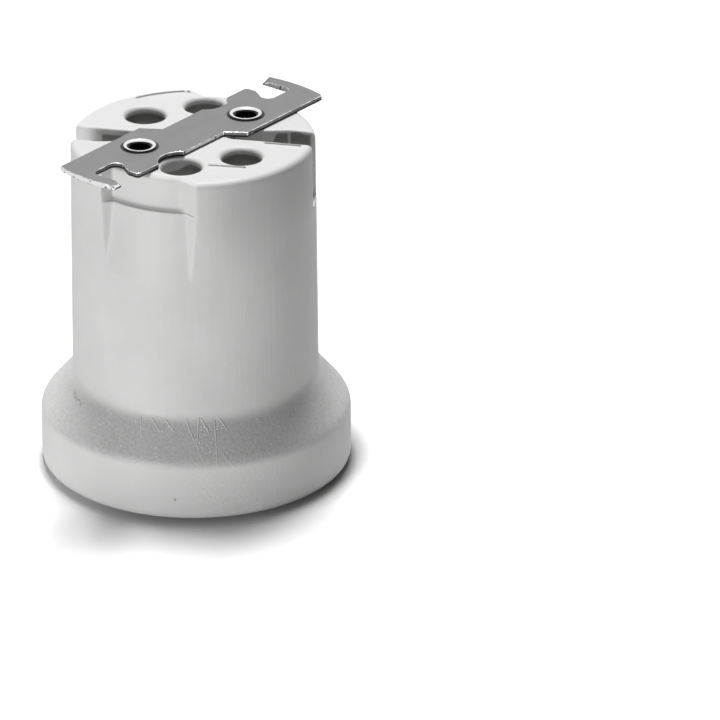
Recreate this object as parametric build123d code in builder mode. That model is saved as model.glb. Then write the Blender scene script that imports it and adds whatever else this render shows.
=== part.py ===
from build123d import *
import os
from math import atan2, cos, degrees, hypot, radians, sin, sqrt

# Porcelain outside
flange_d = 72.0
flange_h = 14.0
shoulder_h = 8.8
body_d = 57.0
body_top_d = 56.0
body_h = 80.0
rim_outer_round = 2.0
rim_inner_round = 1.2
flange_round = 4.0
neck_round = 3.0
top_round = 0.9

# Porcelain inside
rim_w = 4.6
skirt_taper = 1.4
skirt_depth = 13.0
skirt_corner_round = 2.5
shell_z = 17.0
shell_play = 0.6
shell_seat_w = 1.0
ledge_gap = 2.0
chamber_step = 0.5
roof_t = 12.0

# Rear holes, given for one side and repeated half a turn round the axis
access_hole_d = 9.2
access_angle = 81.2
access_wall_gap = 4.5
sunk_hole_d = 9.2
sunk_angle = 30.5
sunk_wall_gap = 3.3
sunk_floor = 4.2
hole_round = 1.2

# Side notches for the leads, which pass the axis on one side
notch_angle = 116.0
notch_side = 0.2
notch_w = 6.7
notch_bend_x = 20.8
notch_bend = 0.7
notch_end_x = 7.0
notch_end_w = 4.4
notch_depth = 15.0
notch_round = 1.5

# Side pockets under the bracket's hooks, and the tapered reliefs below them
pocket_angle = 195.5
pocket_span = 49.0
pocket_wall_r = 24.3
pocket_depth = 7.5
relief_ledge = 1.2
relief_h = 18.5
relief_foot_w = 17.0

# Fixing bracket
bracket_t = 1.5
bracket_tip_inset = 0.1
strip_w = 12.0
lobe_side = 10.6
lobe_inner_x = 6.6
lobe_slope = 3.0
lobe_round = 0.8
hook_w = 3.15
hook_nose_run = 1.6
hook_nose_drop = 1.1
slot_w = 6.0
slot_root = 2.6
slot_root_w = 8.0
slot_root_round = 1.8
slot_neck = 0.6
slot_throat = 3.0
lug_round = 0.8
relief_d = 10.6

# Hollow rivets of the bracket
rivet_x = -14.6
rivet_y = 3.7
rivet_d = 5.8
rivet_bore = 4.8
rivet_head_d = 8.2
rivet_head_h = 0.6
rivet_head_round = 0.28
rivet_play = 0.1
rivet_sink = 6.0
rivet_washer_d = 8.4
rivet_washer_t = 0.8
rivet_sink_d = 9.0

# Screw shell with a 6.35 mm round thread
shell_sheet = 0.6
thread_root_d = 39.8
thread_depth = 1.75
thread_pitch = 6.35
thread_turns = 2.6
thread_round = 2.2
lead_in_step = 0.3
lead_in_h = 5.0
shell_h = 27.0
shell_base_w = 3.4

# Contact straps and terminals
strap_t = 1.6
strap_w = 6.4
strap_guide_d = 13.0
leg_gap = 0.7
foot_inset = 0.3
terminal_l = 7.4
terminal_w = 7.0
terminal_h = 10.4
terminal_chamfer = 0.4
wire_bore = 4.6
wire_drop = 5.5
wire_angle = 160.0
clamp_drop = 1.0

# Screws, M4 slotted
screw_d = 4.0
screw_head_d = 7.0
screw_head_h = 2.6
screw_head_round = 0.6
slot_cut_w = 1.0
slot_cut_depth = 1.3
thread_play = 0.05
head_gap = 0.05
washer_t = 0.9
washer_d = 7.4
strap_screw_reach = 1.0
sunk_screw_play = 0.3

# Sprung centre contact
contact_z = 43.0
contact_d = 13.0
contact_dome = 1.8
contact_head_h = 4.6
stem_d = 5.0
stem_play = 0.06
stem_top = 2.4
stem_room = 6.5
stem_room_d = 11.0
clip_t = 0.8
clip_d = 9.0
clip_groove = 0.4
clip_gap = 3.0
spring_wire = 1.1
spring_mean_d = 9.3
spring_turns = 5.0
running_gap = 0.05

# Places worked out from the sizes above
flange_r = flange_d / 2
mouth_d = flange_d - 2 * rim_w
skirt_floor_d = mouth_d - 2 * skirt_taper
roof_z = body_h - roof_t
lead_in_d = thread_root_d + 2 * lead_in_step
thread_crest_d = thread_root_d - 2 * thread_depth
shell_base_d = thread_root_d - 2 * shell_base_w
shell_bore_d = lead_in_d + 2 * (shell_sheet + shell_play)
shell_flange_d = shell_bore_d + 2 * shell_seat_w
shell_top_z = shell_z + shell_h
ledge_z = shell_top_z + ledge_gap
chamber_d = shell_bore_d - 2 * chamber_step
leg_face_r = chamber_d / 2 - leg_gap
foot_inner_r = shell_base_d / 2 + foot_inset
bracket_tip_r = flange_r - bracket_tip_inset
slot_outer_x = bracket_tip_r - hook_w
slot_inner_x = slot_outer_x - slot_w
access_r = chamber_d / 2 - access_wall_gap
access_x = access_r * cos(radians(access_angle))
access_y = access_r * sin(radians(access_angle))
sunk_r = chamber_d / 2 - sunk_wall_gap
sunk_x = sunk_r * cos(radians(sunk_angle))
sunk_y = sunk_r * sin(radians(sunk_angle))
rivet_r = hypot(rivet_x, rivet_y)
rivet_angle = degrees(atan2(rivet_y, rivet_x))
bracket_top = body_h + bracket_t
sunk_seat_z = roof_z + sunk_floor
strap_z = roof_z - strap_t
neck_z = flange_h + shoulder_h
pocket_floor_z = body_h - pocket_depth
relief_foot_z = pocket_floor_z - relief_h
notch_floor_z = body_h - notch_depth
rivet_seat_z = roof_z + rivet_sink - rivet_washer_t
contact_shoulder_z = contact_z + contact_dome + contact_head_h
clip_z = roof_z + running_gap

# The rear face is the same when turned half round, so its features come in pairs
both = 2
half_turn = Location((0, 0, 0), (0, 0, 180))

# How close an edge lies to the place it is picked by
near = 0.01


# Plan of one pocket and of one lead notch, each pointing along X
with BuildSketch() as pocket_plan:
    with BuildLine():
        wall_arc = CenterArc((0, 0), pocket_wall_r, -pocket_span / 2, pocket_span)
        open_arc = CenterArc((0, 0), flange_r, -pocket_span / 2, pocket_span)
        Line(wall_arc @ 0, open_arc @ 0)
        Line(wall_arc @ 1, open_arc @ 1)
    make_face()

with BuildSketch() as notch_plan:
    notch_straight_x = notch_end_x + notch_end_w / 2
    with BuildLine():
        notch_sides = Polyline(
            (notch_straight_x, notch_side),
            (flange_r, notch_side),
            (flange_r, notch_side + notch_w),
            (notch_bend_x, notch_side + notch_w + notch_bend),
            (notch_straight_x, notch_side + notch_end_w),
        )
        ThreePointArc(notch_sides @ 1, (notch_end_x, notch_side + notch_end_w / 2), notch_sides @ 0)
    make_face()


# Tapered relief below a pocket, cut from the porcelain on both sides
with BuildPart() as relief_tool:
    with BuildSketch(Plane.XZ):
        with BuildLine():
            Polyline(
                (pocket_wall_r + relief_ledge, pocket_floor_z),
                (flange_r, pocket_floor_z),
                (flange_r, relief_foot_z),
                (body_d / 2, relief_foot_z),
                close=True,
            )
        make_face()
    revolve(axis=Axis.Z)
    relief_top_w = body_d * sin(radians(pocket_span / 2))
    with BuildSketch(Plane.YZ):
        with BuildLine():
            Polyline(
                (relief_top_w / 2, pocket_floor_z),
                (relief_foot_w / 2, relief_foot_z),
                (-relief_foot_w / 2, relief_foot_z),
                (-relief_top_w / 2, pocket_floor_z),
                close=True,
            )
        make_face()
    extrude(amount=flange_r, mode=Mode.INTERSECT)


# Porcelain body, pressed and glazed in one piece
with BuildPart() as porcelain_body:
    with BuildSketch(Plane.XZ):
        with BuildLine():
            Polyline(
                (0, roof_z),
                (chamber_d / 2, roof_z),
                (chamber_d / 2, ledge_z),
                (shell_bore_d / 2, ledge_z),
                (shell_bore_d / 2, shell_z + shell_sheet),
                (shell_flange_d / 2 + running_gap, shell_z + shell_sheet),
                (shell_flange_d / 2 + running_gap, shell_z),
                (skirt_floor_d / 2, skirt_depth),
                (mouth_d / 2, 0),
                (flange_r, 0),
                (flange_r, flange_h),
                (body_d / 2, flange_h + shoulder_h),
                (body_top_d / 2, body_h),
                (0, body_h),
                close=True,
            )
        make_face()
    revolve(axis=Axis.Z)
    rim = edges().group_by(Axis.Z)[0].sort_by(SortBy.RADIUS)
    fillet(rim[-1], rim_outer_round)
    fillet(edges().group_by(Axis.Z)[0].sort_by(SortBy.RADIUS)[0], rim_inner_round)
    fillet(edges().filter_by_position(Axis.Z, flange_h - near, flange_h + near), flange_round)
    fillet(edges().filter_by_position(Axis.Z, neck_z - near, neck_z + near), neck_round)
    fillet(edges().filter_by_position(Axis.Z, skirt_depth - near, skirt_depth + near), skirt_corner_round)
    fillet(edges().group_by(Axis.Z)[-1], top_round)

    # Pockets for the fixing screws' heads, and lead notches open to the rear and to the side
    with BuildSketch(Plane.XY.offset(body_h)):
        with PolarLocations(0, both, pocket_angle):
            add(pocket_plan.sketch)
    extrude(amount=-pocket_depth, mode=Mode.SUBTRACT)
    with BuildSketch(Plane.XY.offset(body_h)):
        with PolarLocations(0, both, notch_angle):
            add(notch_plan.sketch)
    extrude(amount=-notch_depth, mode=Mode.SUBTRACT)

    # Terminal access holes, sunk strap screw holes and rivet holes
    with Locations(Plane.XY.offset(body_h)):
        with PolarLocations(access_r, both, access_angle):
            Hole(access_hole_d / 2, depth=body_h - roof_z)
        with PolarLocations(sunk_r, both, sunk_angle):
            Hole(sunk_hole_d / 2, depth=body_h - sunk_seat_z)
            Hole(screw_d / 2 + sunk_screw_play, depth=body_h - roof_z)
        with PolarLocations(rivet_r, both, rivet_angle):
            Hole(rivet_d / 2 + rivet_play, depth=body_h - roof_z)
    with BuildSketch(Plane.XY.offset(roof_z)):
        with PolarLocations(rivet_r, both, rivet_angle):
            Circle(rivet_sink_d / 2)
    extrude(amount=rivet_sink, mode=Mode.SUBTRACT)
    with BuildSketch(Plane.XY.offset(roof_z)):
        Circle(stem_room_d / 2)
    extrude(amount=stem_room, mode=Mode.SUBTRACT)
    with PolarLocations(0, both, pocket_angle):
        add(relief_tool.part, mode=Mode.SUBTRACT)
    notch_floor = edges().filter_by_position(Axis.Z, notch_floor_z - near, notch_floor_z + near)
    fillet(notch_floor.filter_by(GeomType.LINE), notch_round)
    rear_arcs = edges().group_by(Axis.Z)[-1].filter_by(GeomType.CIRCLE)
    for hole_d in {access_hole_d, sunk_hole_d}:
        fillet(rear_arcs.filter_by(lambda arc: abs(arc.radius - hole_d / 2) < near), hole_round)
porcelain_body.part.label = "porcelain_body"


# Plan of the lobe at the bracket's -X end
with BuildSketch() as bracket_lobe:
    with BuildLine():
        Polyline(
            (-bracket_tip_r, 0),
            (-bracket_tip_r, lobe_side),
            (-lobe_inner_x, lobe_side),
            (-lobe_inner_x + lobe_slope, strip_w / 2),
            (-lobe_inner_x + lobe_slope, 0),
            close=True,
        )
    make_face()

# Cut-outs of that end: the hook slot with its wider root, the half-round relief and the rivet hole
with BuildSketch() as bracket_cuts:
    with BuildLine():
        Polyline(
            (-slot_outer_x, -strip_w),
            (-slot_outer_x, slot_root),
            (-slot_outer_x + slot_root_w, slot_root),
            (-slot_outer_x + slot_root_w, slot_root - slot_root_round - slot_neck),
            (-slot_inner_x, -slot_throat),
            (-slot_inner_x, -strip_w),
            close=True,
        )
    make_face()
    fillet(vertices().group_by(Axis.Y)[-1], slot_root_round)
    with Locations((-sunk_x, -sunk_y)):
        Circle(relief_d / 2)
    with Locations((rivet_x, rivet_y)):
        Circle(rivet_d / 2 + rivet_play)


# Fixing bracket, pressed from sheet, the same when turned half round, with its hooks' noses bevelled
with BuildPart() as fixing_bracket:
    with BuildSketch(Plane.XY.offset(body_h)):
        Rectangle(2 * bracket_tip_r, strip_w)
        with PolarLocations(0, both):
            add(bracket_lobe.sketch)
        Circle(bracket_tip_r, mode=Mode.INTERSECT)
        with PolarLocations(0, both):
            add(bracket_cuts.sketch, mode=Mode.SUBTRACT)
    extrude(amount=bracket_t)
    upper = edges().group_by(Axis.Z)[-1].filter_by(Axis.X)
    noses = upper.filter_by(lambda edge: abs(edge.center().X) > slot_outer_x and edge.length < hook_w)
    chamfer(noses, hook_nose_run, hook_nose_drop, reference=faces().sort_by(Axis.Z)[-1])
    tips = edges().filter_by(Axis.Z).filter_by(lambda edge: abs(edge.center().X) > slot_outer_x)
    fillet(tips.filter_by(lambda edge: abs(edge.center().Y) > lobe_side - near), lobe_round)
    lugs = edges().filter_by(Axis.Z).filter_by(lambda edge: abs(edge.center().Y) > strip_w / 2 - near)
    fillet(lugs.filter_by(lambda edge: abs(abs(edge.center().X) - slot_inner_x) < near), lug_round)
fixing_bracket.part.label = "fixing_bracket"


# One hollow rivet on the axis, with its rolled head and its flared inner end
with BuildPart() as rivet:
    with BuildSketch(Plane.XZ):
        with BuildLine():
            Polyline(
                (rivet_bore / 2, rivet_seat_z - rivet_head_h),
                (rivet_head_d / 2, rivet_seat_z - rivet_head_h),
                (rivet_head_d / 2, rivet_seat_z),
                (rivet_d / 2, rivet_seat_z),
                (rivet_d / 2, bracket_top),
                (rivet_head_d / 2, bracket_top),
                (rivet_head_d / 2, bracket_top + rivet_head_h),
                (rivet_bore / 2, bracket_top + rivet_head_h),
                close=True,
            )
        make_face()
    revolve(axis=Axis.Z)
    fillet(edges().group_by(Axis.Z)[-1], rivet_head_round)

with BuildPart() as bracket_rivets:
    with PolarLocations(rivet_r, both, rivet_angle):
        add(rivet.part)
bracket_rivets.part.label = "bracket_rivets"


# Washers under the rivets' inner ends
with BuildPart() as rivet_washers:
    with BuildSketch(Plane.XY.offset(rivet_seat_z)):
        with PolarLocations(rivet_r, both, rivet_angle):
            Circle(rivet_washer_d / 2)
            Circle(rivet_d / 2 + rivet_play, mode=Mode.SUBTRACT)
    extrude(amount=rivet_washer_t)
rivet_washers.part.label = "rivet_washers"


# Screw shell, rolled from sheet with a round thread
with BuildPart() as screw_shell:
    with BuildSketch(Plane.XZ):
        with BuildLine():
            Polyline(
                (lead_in_d / 2, shell_z),
                (shell_flange_d / 2, shell_z),
                (shell_flange_d / 2, shell_z + shell_sheet),
                (lead_in_d / 2 + shell_sheet, shell_z + shell_sheet),
                (lead_in_d / 2 + shell_sheet, shell_z + lead_in_h + shell_sheet),
                (thread_root_d / 2 + shell_sheet, shell_z + lead_in_h + shell_sheet),
                (thread_root_d / 2 + shell_sheet, shell_top_z),
                (shell_base_d / 2, shell_top_z),
                (shell_base_d / 2, shell_top_z - shell_sheet),
                (thread_root_d / 2, shell_top_z - shell_sheet),
                (thread_root_d / 2, shell_z + lead_in_h),
                (lead_in_d / 2, shell_z + lead_in_h),
                close=True,
            )
        make_face()
    revolve(axis=Axis.Z)
    ridge_centre = thread_crest_d / 2 + thread_round - thread_root_d / 2
    ridge_w = 2 * sqrt(thread_round**2 - ridge_centre**2)
    ridge_start_z = shell_z + lead_in_h + thread_round + shell_sheet
    with BuildLine() as thread_path:
        Helix(thread_pitch, thread_pitch * thread_turns, thread_root_d / 2, center=(0, 0, ridge_start_z))
    thread_plane = Plane(thread_path.line @ 0, x_dir=(1, 0, 0), z_dir=thread_path.line % 0)
    with BuildSketch(thread_plane) as ridge:
        with Locations((ridge_centre, 0)):
            Circle(thread_round)
        Rectangle(thread_pitch, thread_pitch, align=(Align.MAX, Align.CENTER), mode=Mode.INTERSECT)
        Rectangle(shell_sheet / 2, ridge_w, align=(Align.MIN, Align.CENTER))
    sweep(ridge.sketch, path=thread_path.line, is_frenet=True)
    with BuildSketch(thread_plane) as groove:
        with Locations((ridge_centre, 0)):
            Circle(thread_round - shell_sheet)
    sweep(groove.sketch, path=thread_path.line, is_frenet=True, mode=Mode.SUBTRACT)
screw_shell.part.label = "screw_shell"


# Strap of the centre contact, flat under the roof, with the plunger's guide
with BuildPart() as centre_strap:
    arm = hypot(sunk_x - access_x, sunk_y - access_y)
    arm_angle = degrees(atan2(access_y - sunk_y, access_x - sunk_x))
    with BuildSketch(Plane.XY.offset(strap_z)):
        with Locations(((sunk_x + access_x) / 2, (sunk_y + access_y) / 2)):
            SlotCenterToCenter(arm, strap_w, rotation=arm_angle)
        with Locations((sunk_x / 2, sunk_y / 2)):
            SlotCenterToCenter(sunk_r, strap_w, rotation=sunk_angle)
        Circle(strap_guide_d / 2)
        Circle(stem_d / 2 + stem_play, mode=Mode.SUBTRACT)
        with Locations((sunk_x, sunk_y)):
            Circle(screw_d / 2, mode=Mode.SUBTRACT)
        with Locations((access_x, access_y)):
            Circle(screw_d / 2 + thread_play, mode=Mode.SUBTRACT)
    extrude(amount=strap_t)
centre_strap.part.label = "centre_strap"


# Strap of the shell, bent down the chamber wall to a foot on the shell's base
with BuildPart() as shell_strap:
    with BuildSketch(Plane.XY.offset(strap_z)):
        with Locations((-(sunk_x + access_x) / 2, -(sunk_y + access_y) / 2)):
            SlotCenterToCenter(arm, strap_w, rotation=arm_angle)
    extrude(amount=strap_t)
    leg_out = Vector(-sunk_x, -sunk_y, 0).normalized()
    leg_plane = Plane(origin=(0, 0, 0), x_dir=leg_out, z_dir=leg_out.cross(Vector(0, 0, 1)))
    with BuildSketch(leg_plane):
        with BuildLine():
            FilletPolyline(
                (sunk_r - strap_w / 2, roof_z - strap_t / 2),
                (leg_face_r - strap_t / 2, roof_z - strap_t / 2),
                (leg_face_r - strap_t / 2, shell_top_z + strap_t / 2),
                (foot_inner_r, shell_top_z + strap_t / 2),
                radius=strap_t,
            )
        trace(line_width=strap_t)
    extrude(amount=strap_w / 2, both=True)
    with Locations((-sunk_x, -sunk_y, roof_z)):
        Hole(screw_d / 2, depth=strap_t + strap_screw_reach)
    with Locations((-access_x, -access_y, roof_z)):
        Hole(screw_d / 2 + thread_play, depth=strap_t)
shell_strap.part.label = "shell_strap"


# One pillar terminal block, at the centre contact's side
with BuildPart() as terminal_block:
    with BuildSketch(Plane.XY.offset(strap_z)):
        with Locations((access_x, access_y)):
            Rectangle(terminal_l, terminal_w, rotation=wire_angle)
    extrude(amount=-terminal_h)
    chamfer(edges().filter_by(Axis.Z), terminal_chamfer)
    with Locations(Plane.XY.offset(strap_z)):
        with Locations((access_x, access_y)):
            Hole(screw_d / 2 + thread_play, depth=wire_drop)
    wire_dir = Vector(1, 0, 0).rotate(Axis.Z, wire_angle)
    with BuildSketch(Plane((access_x, access_y, strap_z - wire_drop), z_dir=wire_dir)):
        Circle(wire_bore / 2)
    extrude(amount=terminal_l, both=True, mode=Mode.SUBTRACT)


def slotted_screw(shank_l):
    """Cheese-head screw with its head's seat at z = 0 and its shank down the Z axis."""
    with BuildPart() as screw:
        Cylinder(screw_head_d / 2, screw_head_h, align=(Align.CENTER, Align.CENTER, Align.MIN))
        fillet(edges().group_by(Axis.Z)[-1], screw_head_round)
        with Locations((0, 0, screw_head_h)):
            Box(screw_head_d, slot_cut_w, 2 * slot_cut_depth, mode=Mode.SUBTRACT)
        Cylinder(screw_d / 2, shank_l, align=(Align.CENTER, Align.CENTER, Align.MAX))
    return screw.part


# One terminal screw, which clamps the lead from the rear
with BuildPart() as terminal_screw:
    with Locations((access_x, access_y, roof_z + head_gap)):
        add(slotted_screw(strap_t + wire_drop + clamp_drop))

with BuildPart() as centre_terminal:
    add(terminal_block.part)
centre_terminal.part.label = "centre_terminal"

with BuildPart() as shell_terminal:
    with Locations(half_turn):
        add(terminal_block.part)
shell_terminal.part.label = "shell_terminal"

with BuildPart() as centre_terminal_screw:
    add(terminal_screw.part)
centre_terminal_screw.part.label = "centre_terminal_screw"

with BuildPart() as shell_terminal_screw:
    with Locations(half_turn):
        add(terminal_screw.part)
shell_terminal_screw.part.label = "shell_terminal_screw"


# Screws that hold the straps up to the roof, sunk in the rear holes
with BuildPart() as strap_screws:
    with Locations(Plane.XY.offset(sunk_seat_z + washer_t)):
        with PolarLocations(sunk_r, both, sunk_angle):
            add(slotted_screw(washer_t + sunk_floor + strap_t + strap_screw_reach))
strap_screws.part.label = "strap_screws"


# Washers under the strap screws
with BuildPart() as strap_washers:
    with BuildSketch(Plane.XY.offset(sunk_seat_z)):
        with PolarLocations(sunk_r, both, sunk_angle):
            Circle(washer_d / 2)
            Circle(screw_d / 2 + thread_play, mode=Mode.SUBTRACT)
    extrude(amount=washer_t)
strap_washers.part.label = "strap_washers"


# Sprung centre contact
with BuildPart() as contact_plunger:
    with BuildSketch(Plane.XZ):
        with BuildLine():
            Polyline(
                (contact_d / 2, contact_z + contact_dome),
                (contact_d / 2, contact_shoulder_z),
                (stem_d / 2, contact_shoulder_z),
                (stem_d / 2, clip_z),
                (stem_d / 2 - clip_groove, clip_z),
                (stem_d / 2 - clip_groove, clip_z + clip_t),
                (stem_d / 2, clip_z + clip_t),
                (stem_d / 2, roof_z + stem_top),
                (0, roof_z + stem_top),
                (0, contact_z),
            )
            TangentArc((0, contact_z), (contact_d / 2, contact_z + contact_dome), tangent=(1, 0))
        make_face()
    revolve(axis=Axis.Z)
contact_plunger.part.label = "contact_plunger"


# Clip that keeps the plunger in its guide
with BuildPart() as contact_clip:
    with BuildSketch(Plane.XY.offset(clip_z)):
        Circle(clip_d / 2)
        Circle(stem_d / 2 - clip_groove, mode=Mode.SUBTRACT)
        with Locations((clip_d / 2, 0)):
            Rectangle(clip_d, clip_gap, mode=Mode.SUBTRACT)
    extrude(amount=clip_t)
contact_clip.part.label = "contact_clip"


# Coil spring between the plunger's head and the strap
with BuildPart() as contact_spring:
    coil_z = contact_shoulder_z + spring_wire / 2 + running_gap
    coil_h = strap_z - spring_wire / 2 - running_gap - coil_z
    with BuildLine() as coil_path:
        Helix(coil_h / spring_turns, coil_h, spring_mean_d / 2, center=(0, 0, coil_z))
    with BuildSketch(Plane(coil_path.line @ 0, z_dir=coil_path.line % 0)):
        Circle(spring_wire / 2)
    sweep(path=coil_path.line, is_frenet=True)
contact_spring.part.label = "contact_spring"


os.makedirs("parts", exist_ok=True)
for piece in (
    porcelain_body,
    fixing_bracket,
    bracket_rivets,
    rivet_washers,
    screw_shell,
    centre_strap,
    shell_strap,
    centre_terminal,
    shell_terminal,
    centre_terminal_screw,
    shell_terminal_screw,
    strap_screws,
    strap_washers,
    contact_plunger,
    contact_clip,
    contact_spring,
):
    export_step(piece.part, f"parts/{piece.part.label}.step")
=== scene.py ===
from functools import cached_property
from math import asin, atan2, cos, degrees, pi, radians, sin, tan, tau

import bpy
from mathutils import Matrix, Vector


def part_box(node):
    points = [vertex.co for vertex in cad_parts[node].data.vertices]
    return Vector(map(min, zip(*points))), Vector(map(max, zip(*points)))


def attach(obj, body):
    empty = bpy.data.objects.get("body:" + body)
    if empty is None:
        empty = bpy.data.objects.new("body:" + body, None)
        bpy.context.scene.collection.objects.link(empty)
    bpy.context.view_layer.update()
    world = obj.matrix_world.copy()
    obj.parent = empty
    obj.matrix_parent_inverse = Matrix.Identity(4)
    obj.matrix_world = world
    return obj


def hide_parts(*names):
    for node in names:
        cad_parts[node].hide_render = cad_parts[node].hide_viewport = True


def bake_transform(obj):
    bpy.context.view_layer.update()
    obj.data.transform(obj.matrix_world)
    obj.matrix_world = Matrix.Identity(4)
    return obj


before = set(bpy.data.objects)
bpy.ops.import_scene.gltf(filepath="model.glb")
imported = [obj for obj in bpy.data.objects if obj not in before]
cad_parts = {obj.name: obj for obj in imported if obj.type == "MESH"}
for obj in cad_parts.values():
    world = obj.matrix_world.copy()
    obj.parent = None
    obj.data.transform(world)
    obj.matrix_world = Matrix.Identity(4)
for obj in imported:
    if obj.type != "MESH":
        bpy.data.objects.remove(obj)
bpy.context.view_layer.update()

# Lengths are in millimetres and angles in degrees, unless a name or comment says otherwise
MM = 0.001
HALF_TURNS = (0, 180)

# Porcelain: outside
FLANGE_R = 36.0
FLANGE_H = 14.0
SHOULDER_H = 8.8
BODY_R = 28.5
BODY_TOP_R = 28.0
BODY_H = 80.5
BORDER_ROUND = 1.4
RIM_OUTER_ROUND = 2.0
RIM_INNER_ROUND = 1.2
FLANGE_ROUND = 4.0
NECK_ROUND = 3.0

# Porcelain: inside
MOUTH_R = 31.4
SKIRT_FLOOR_R = 30.0
SKIRT_DEPTH = 13.0
SKIRT_CORNER_ROUND = 2.5
SHELL_Z = 17.0
SHELL_SEAT_R = 22.45
SHELL_SEAT_Z = 17.6
SHELL_BORE_R = 21.4
CHAMBER_R = 20.9
LEDGE_Z = 46.0
ROOF_Z = 68.0

# Porcelain: rear holes, notches and pockets, which come in pairs half a turn apart
HOLE_R = 4.6
HOLE_ROUND = 1.2
ACCESS_RADIUS = 16.4
ACCESS_ANGLE = 81.2
SUNK_RADIUS = 17.6
SUNK_ANGLE = 30.5
SUNK_FLOOR_Z = 72.2
SUNK_BORE_R = 2.3
RIVET_RADIUS = 15.06
RIVET_ANGLE = 165.8
RIVET_BORE_R = 3.0
RIVET_SINK_R = 4.5
RIVET_SINK_Z = 74.0
STEM_ROOM_R = 5.5
STEM_ROOM_Z = 74.5
NOTCH_ANGLE = 116.0
NOTCH_SIDE = 0.2
NOTCH_W = 6.7
NOTCH_BEND_X = 20.8
NOTCH_BEND = 0.7
NOTCH_END_X = 7.0
NOTCH_END_W = 4.4
NOTCH_FLOOR_Z = 65.0
NOTCH_MOUTH_ROUNDS = (2.0, 0.3)
POCKET_ANGLE = 195.5
POCKET_SPAN = 49.0
POCKET_WALL_R = 24.3
POCKET_FLOOR_Z = 72.5
POCKET_BRIM = 0.8
POCKET_BRIM_DEPTH = 0.6
POCKET_SLANT = 7.7
RELIEF_LEDGE_R = 25.5
RELIEF_FOOT_Z = 54.0
RELIEF_TOP_W = 23.6
RELIEF_FOOT_W = 17.0
RELIEF_FLARE_R = 23.0
RELIEF_FLARES = (2.0, 1.6)

# Cutters: how far one reaches past what it cuts, and how many times as long as a pocket's
# slanted end its cutter is
OVERCUT = 1.0
SLANT_REACH = 3.5

# How finely outlines and round forms are divided
ROUND_STEP = 10.0
TURN_STEPS = 180
HOLE_STEPS = 72
ARC_STEPS = 24
RELIEF_STEPS = 20
NOTCH_END_STEPS = 16
MOUTH_STEPS = 8
WELD_GAP = 0.001

# How the glaze softens every edge of the porcelain
GLAZE_GRID = 0.32
GLAZE_SOFTENING = 0.5
GLAZE_PASSES = 9
GLAZE_TRIANGLES = 190000

# Bracket, pressed from sheet
BRACKET_Z = 80.5
BRACKET_T = 1.2
BRACKET_TIP_R = 35.9
STRIP_W = 12.0
LOBE_SIDE = 10.6
LOBE_INNER_X = 6.6
LOBE_SLOPE = 3.0
LOBE_ROUND = 0.8
HOOK_W = 3.15
NOSE_RUN = 1.6
NOSE_DROP = 0.9
NOSE_SLANTS = (0.0, 42.0)
SLOT_W = 6.0
SLOT_ROOT = 2.6
SLOT_ROOT_W = 8.0
SLOT_ROOT_ROUND = 1.8
SLOT_NECK = 0.6
SLOT_THROAT = 3.0
LUG_ROUND = 0.8
RELIEF_R = 5.3
EDGE_BREAK = 0.25
EDGE_BREAK_STEPS = 3
SHEET_EDGE_ANGLE = 30.0

# Hollow rivets
RIVET_R = 2.9
RIVET_HOLLOW_R = 2.4
RIVET_HEAD_R = 4.1
RIVET_HEAD_H = 0.4
RIVET_ROLL = 0.2
RIVET_RIM_R = 3.8
RIVET_FLARE_R = 3.1
RIVET_FLARE_DEPTH = 0.6
RIVET_SEAT_Z = 73.2

# Contact spring
SPRING_WIRE = 1.1
SPRING_MEAN_R = 4.65
SPRING_TURNS = 5
SPRING_STEPS = 180
WIRE_SIDES = 12
ROUND_EDGE_ANGLE = 40.0

# In the finishes below, a pair of numbers bounds a soft edge: a height, a radius, an angle,
# a gap, or a share of a direction. Angles of the glaze are counted from the -X side.

# Glaze: painted shade on the shoulder, deepest on its front side
OUTSIDE_R = (27.5, 28.2)
SHOULDER_FOOT_Z = (12.5, 14.5)
SHOULDER_TOP_Z = (20.8, 22.6)
FRONT_ANGLE = 32.0
FRONT_SPREAD = (25.0, 75.0)

# Glaze: scratches and pits, from one place to another, each an angle from +X and a height
UNROLL_R = 33.0
SCRATCHES = (
    ((193.9, 21.9), (196.5, 18.5)),
    ((199.4, 22.0), (203.7, 20.0)),
    ((205.8, 22.0), (209.5, 20.3)),
    ((215.0, 22.2), (218.5, 18.6)),
    ((220.6, 22.7), (219.7, 17.7)),
    ((219.7, 17.7), (222.4, 14.3)),
    ((221.6, 22.5), (224.6, 20.1)),
    ((227.7, 22.0), (227.0, 13.5)),
    ((229.9, 22.4), (232.8, 20.1)),
    ((229.4, 16.2), (233.4, 12.8)),
)
SCRATCH_EDGE = (0.02, 0.24)
SCRATCH_FADE_Z = (14.0, 21.0)
PITTED_LINE = ((149.0, 21.0), (159.9, 20.2))
PITTED_EDGE = (0.15, 0.45)
PIT = ((211.4, 5.3), (211.4, 5.4))
PIT_EDGE = (0.1, 0.3)

# Glaze: fine cracks low on one side
CRAZED_ANGLE = 52.0
CRAZED_SPREAD = (12.0, 22.0)
CRAZED_TOP_Z = (12.0, 14.0)

# Glaze: marks that stand up from the rear lands, straight ones from one point of the plan to
# another, and an arc between two angles from +X
LAND_Z = (BODY_H - 0.5, BODY_H - 0.1)
LAND_LINES = (
    ((-11.3, -14.1), (-7.4, -21.0)),
    ((6.4, -16.2), (9.8, -23.2)),
    ((18.9, 16.9), (18.7, 16.6)),
)
LAND_ARC_R = 25.4
LAND_ARC_START = 43.5
LAND_ARC_END = 70.5
LAND_ARC_FADE = 0.5
LAND_MARK_W = 1.2
LAND_MARK_H = 0.4
LAND_MARK_EDGE = (0.05, 0.5)
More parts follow.
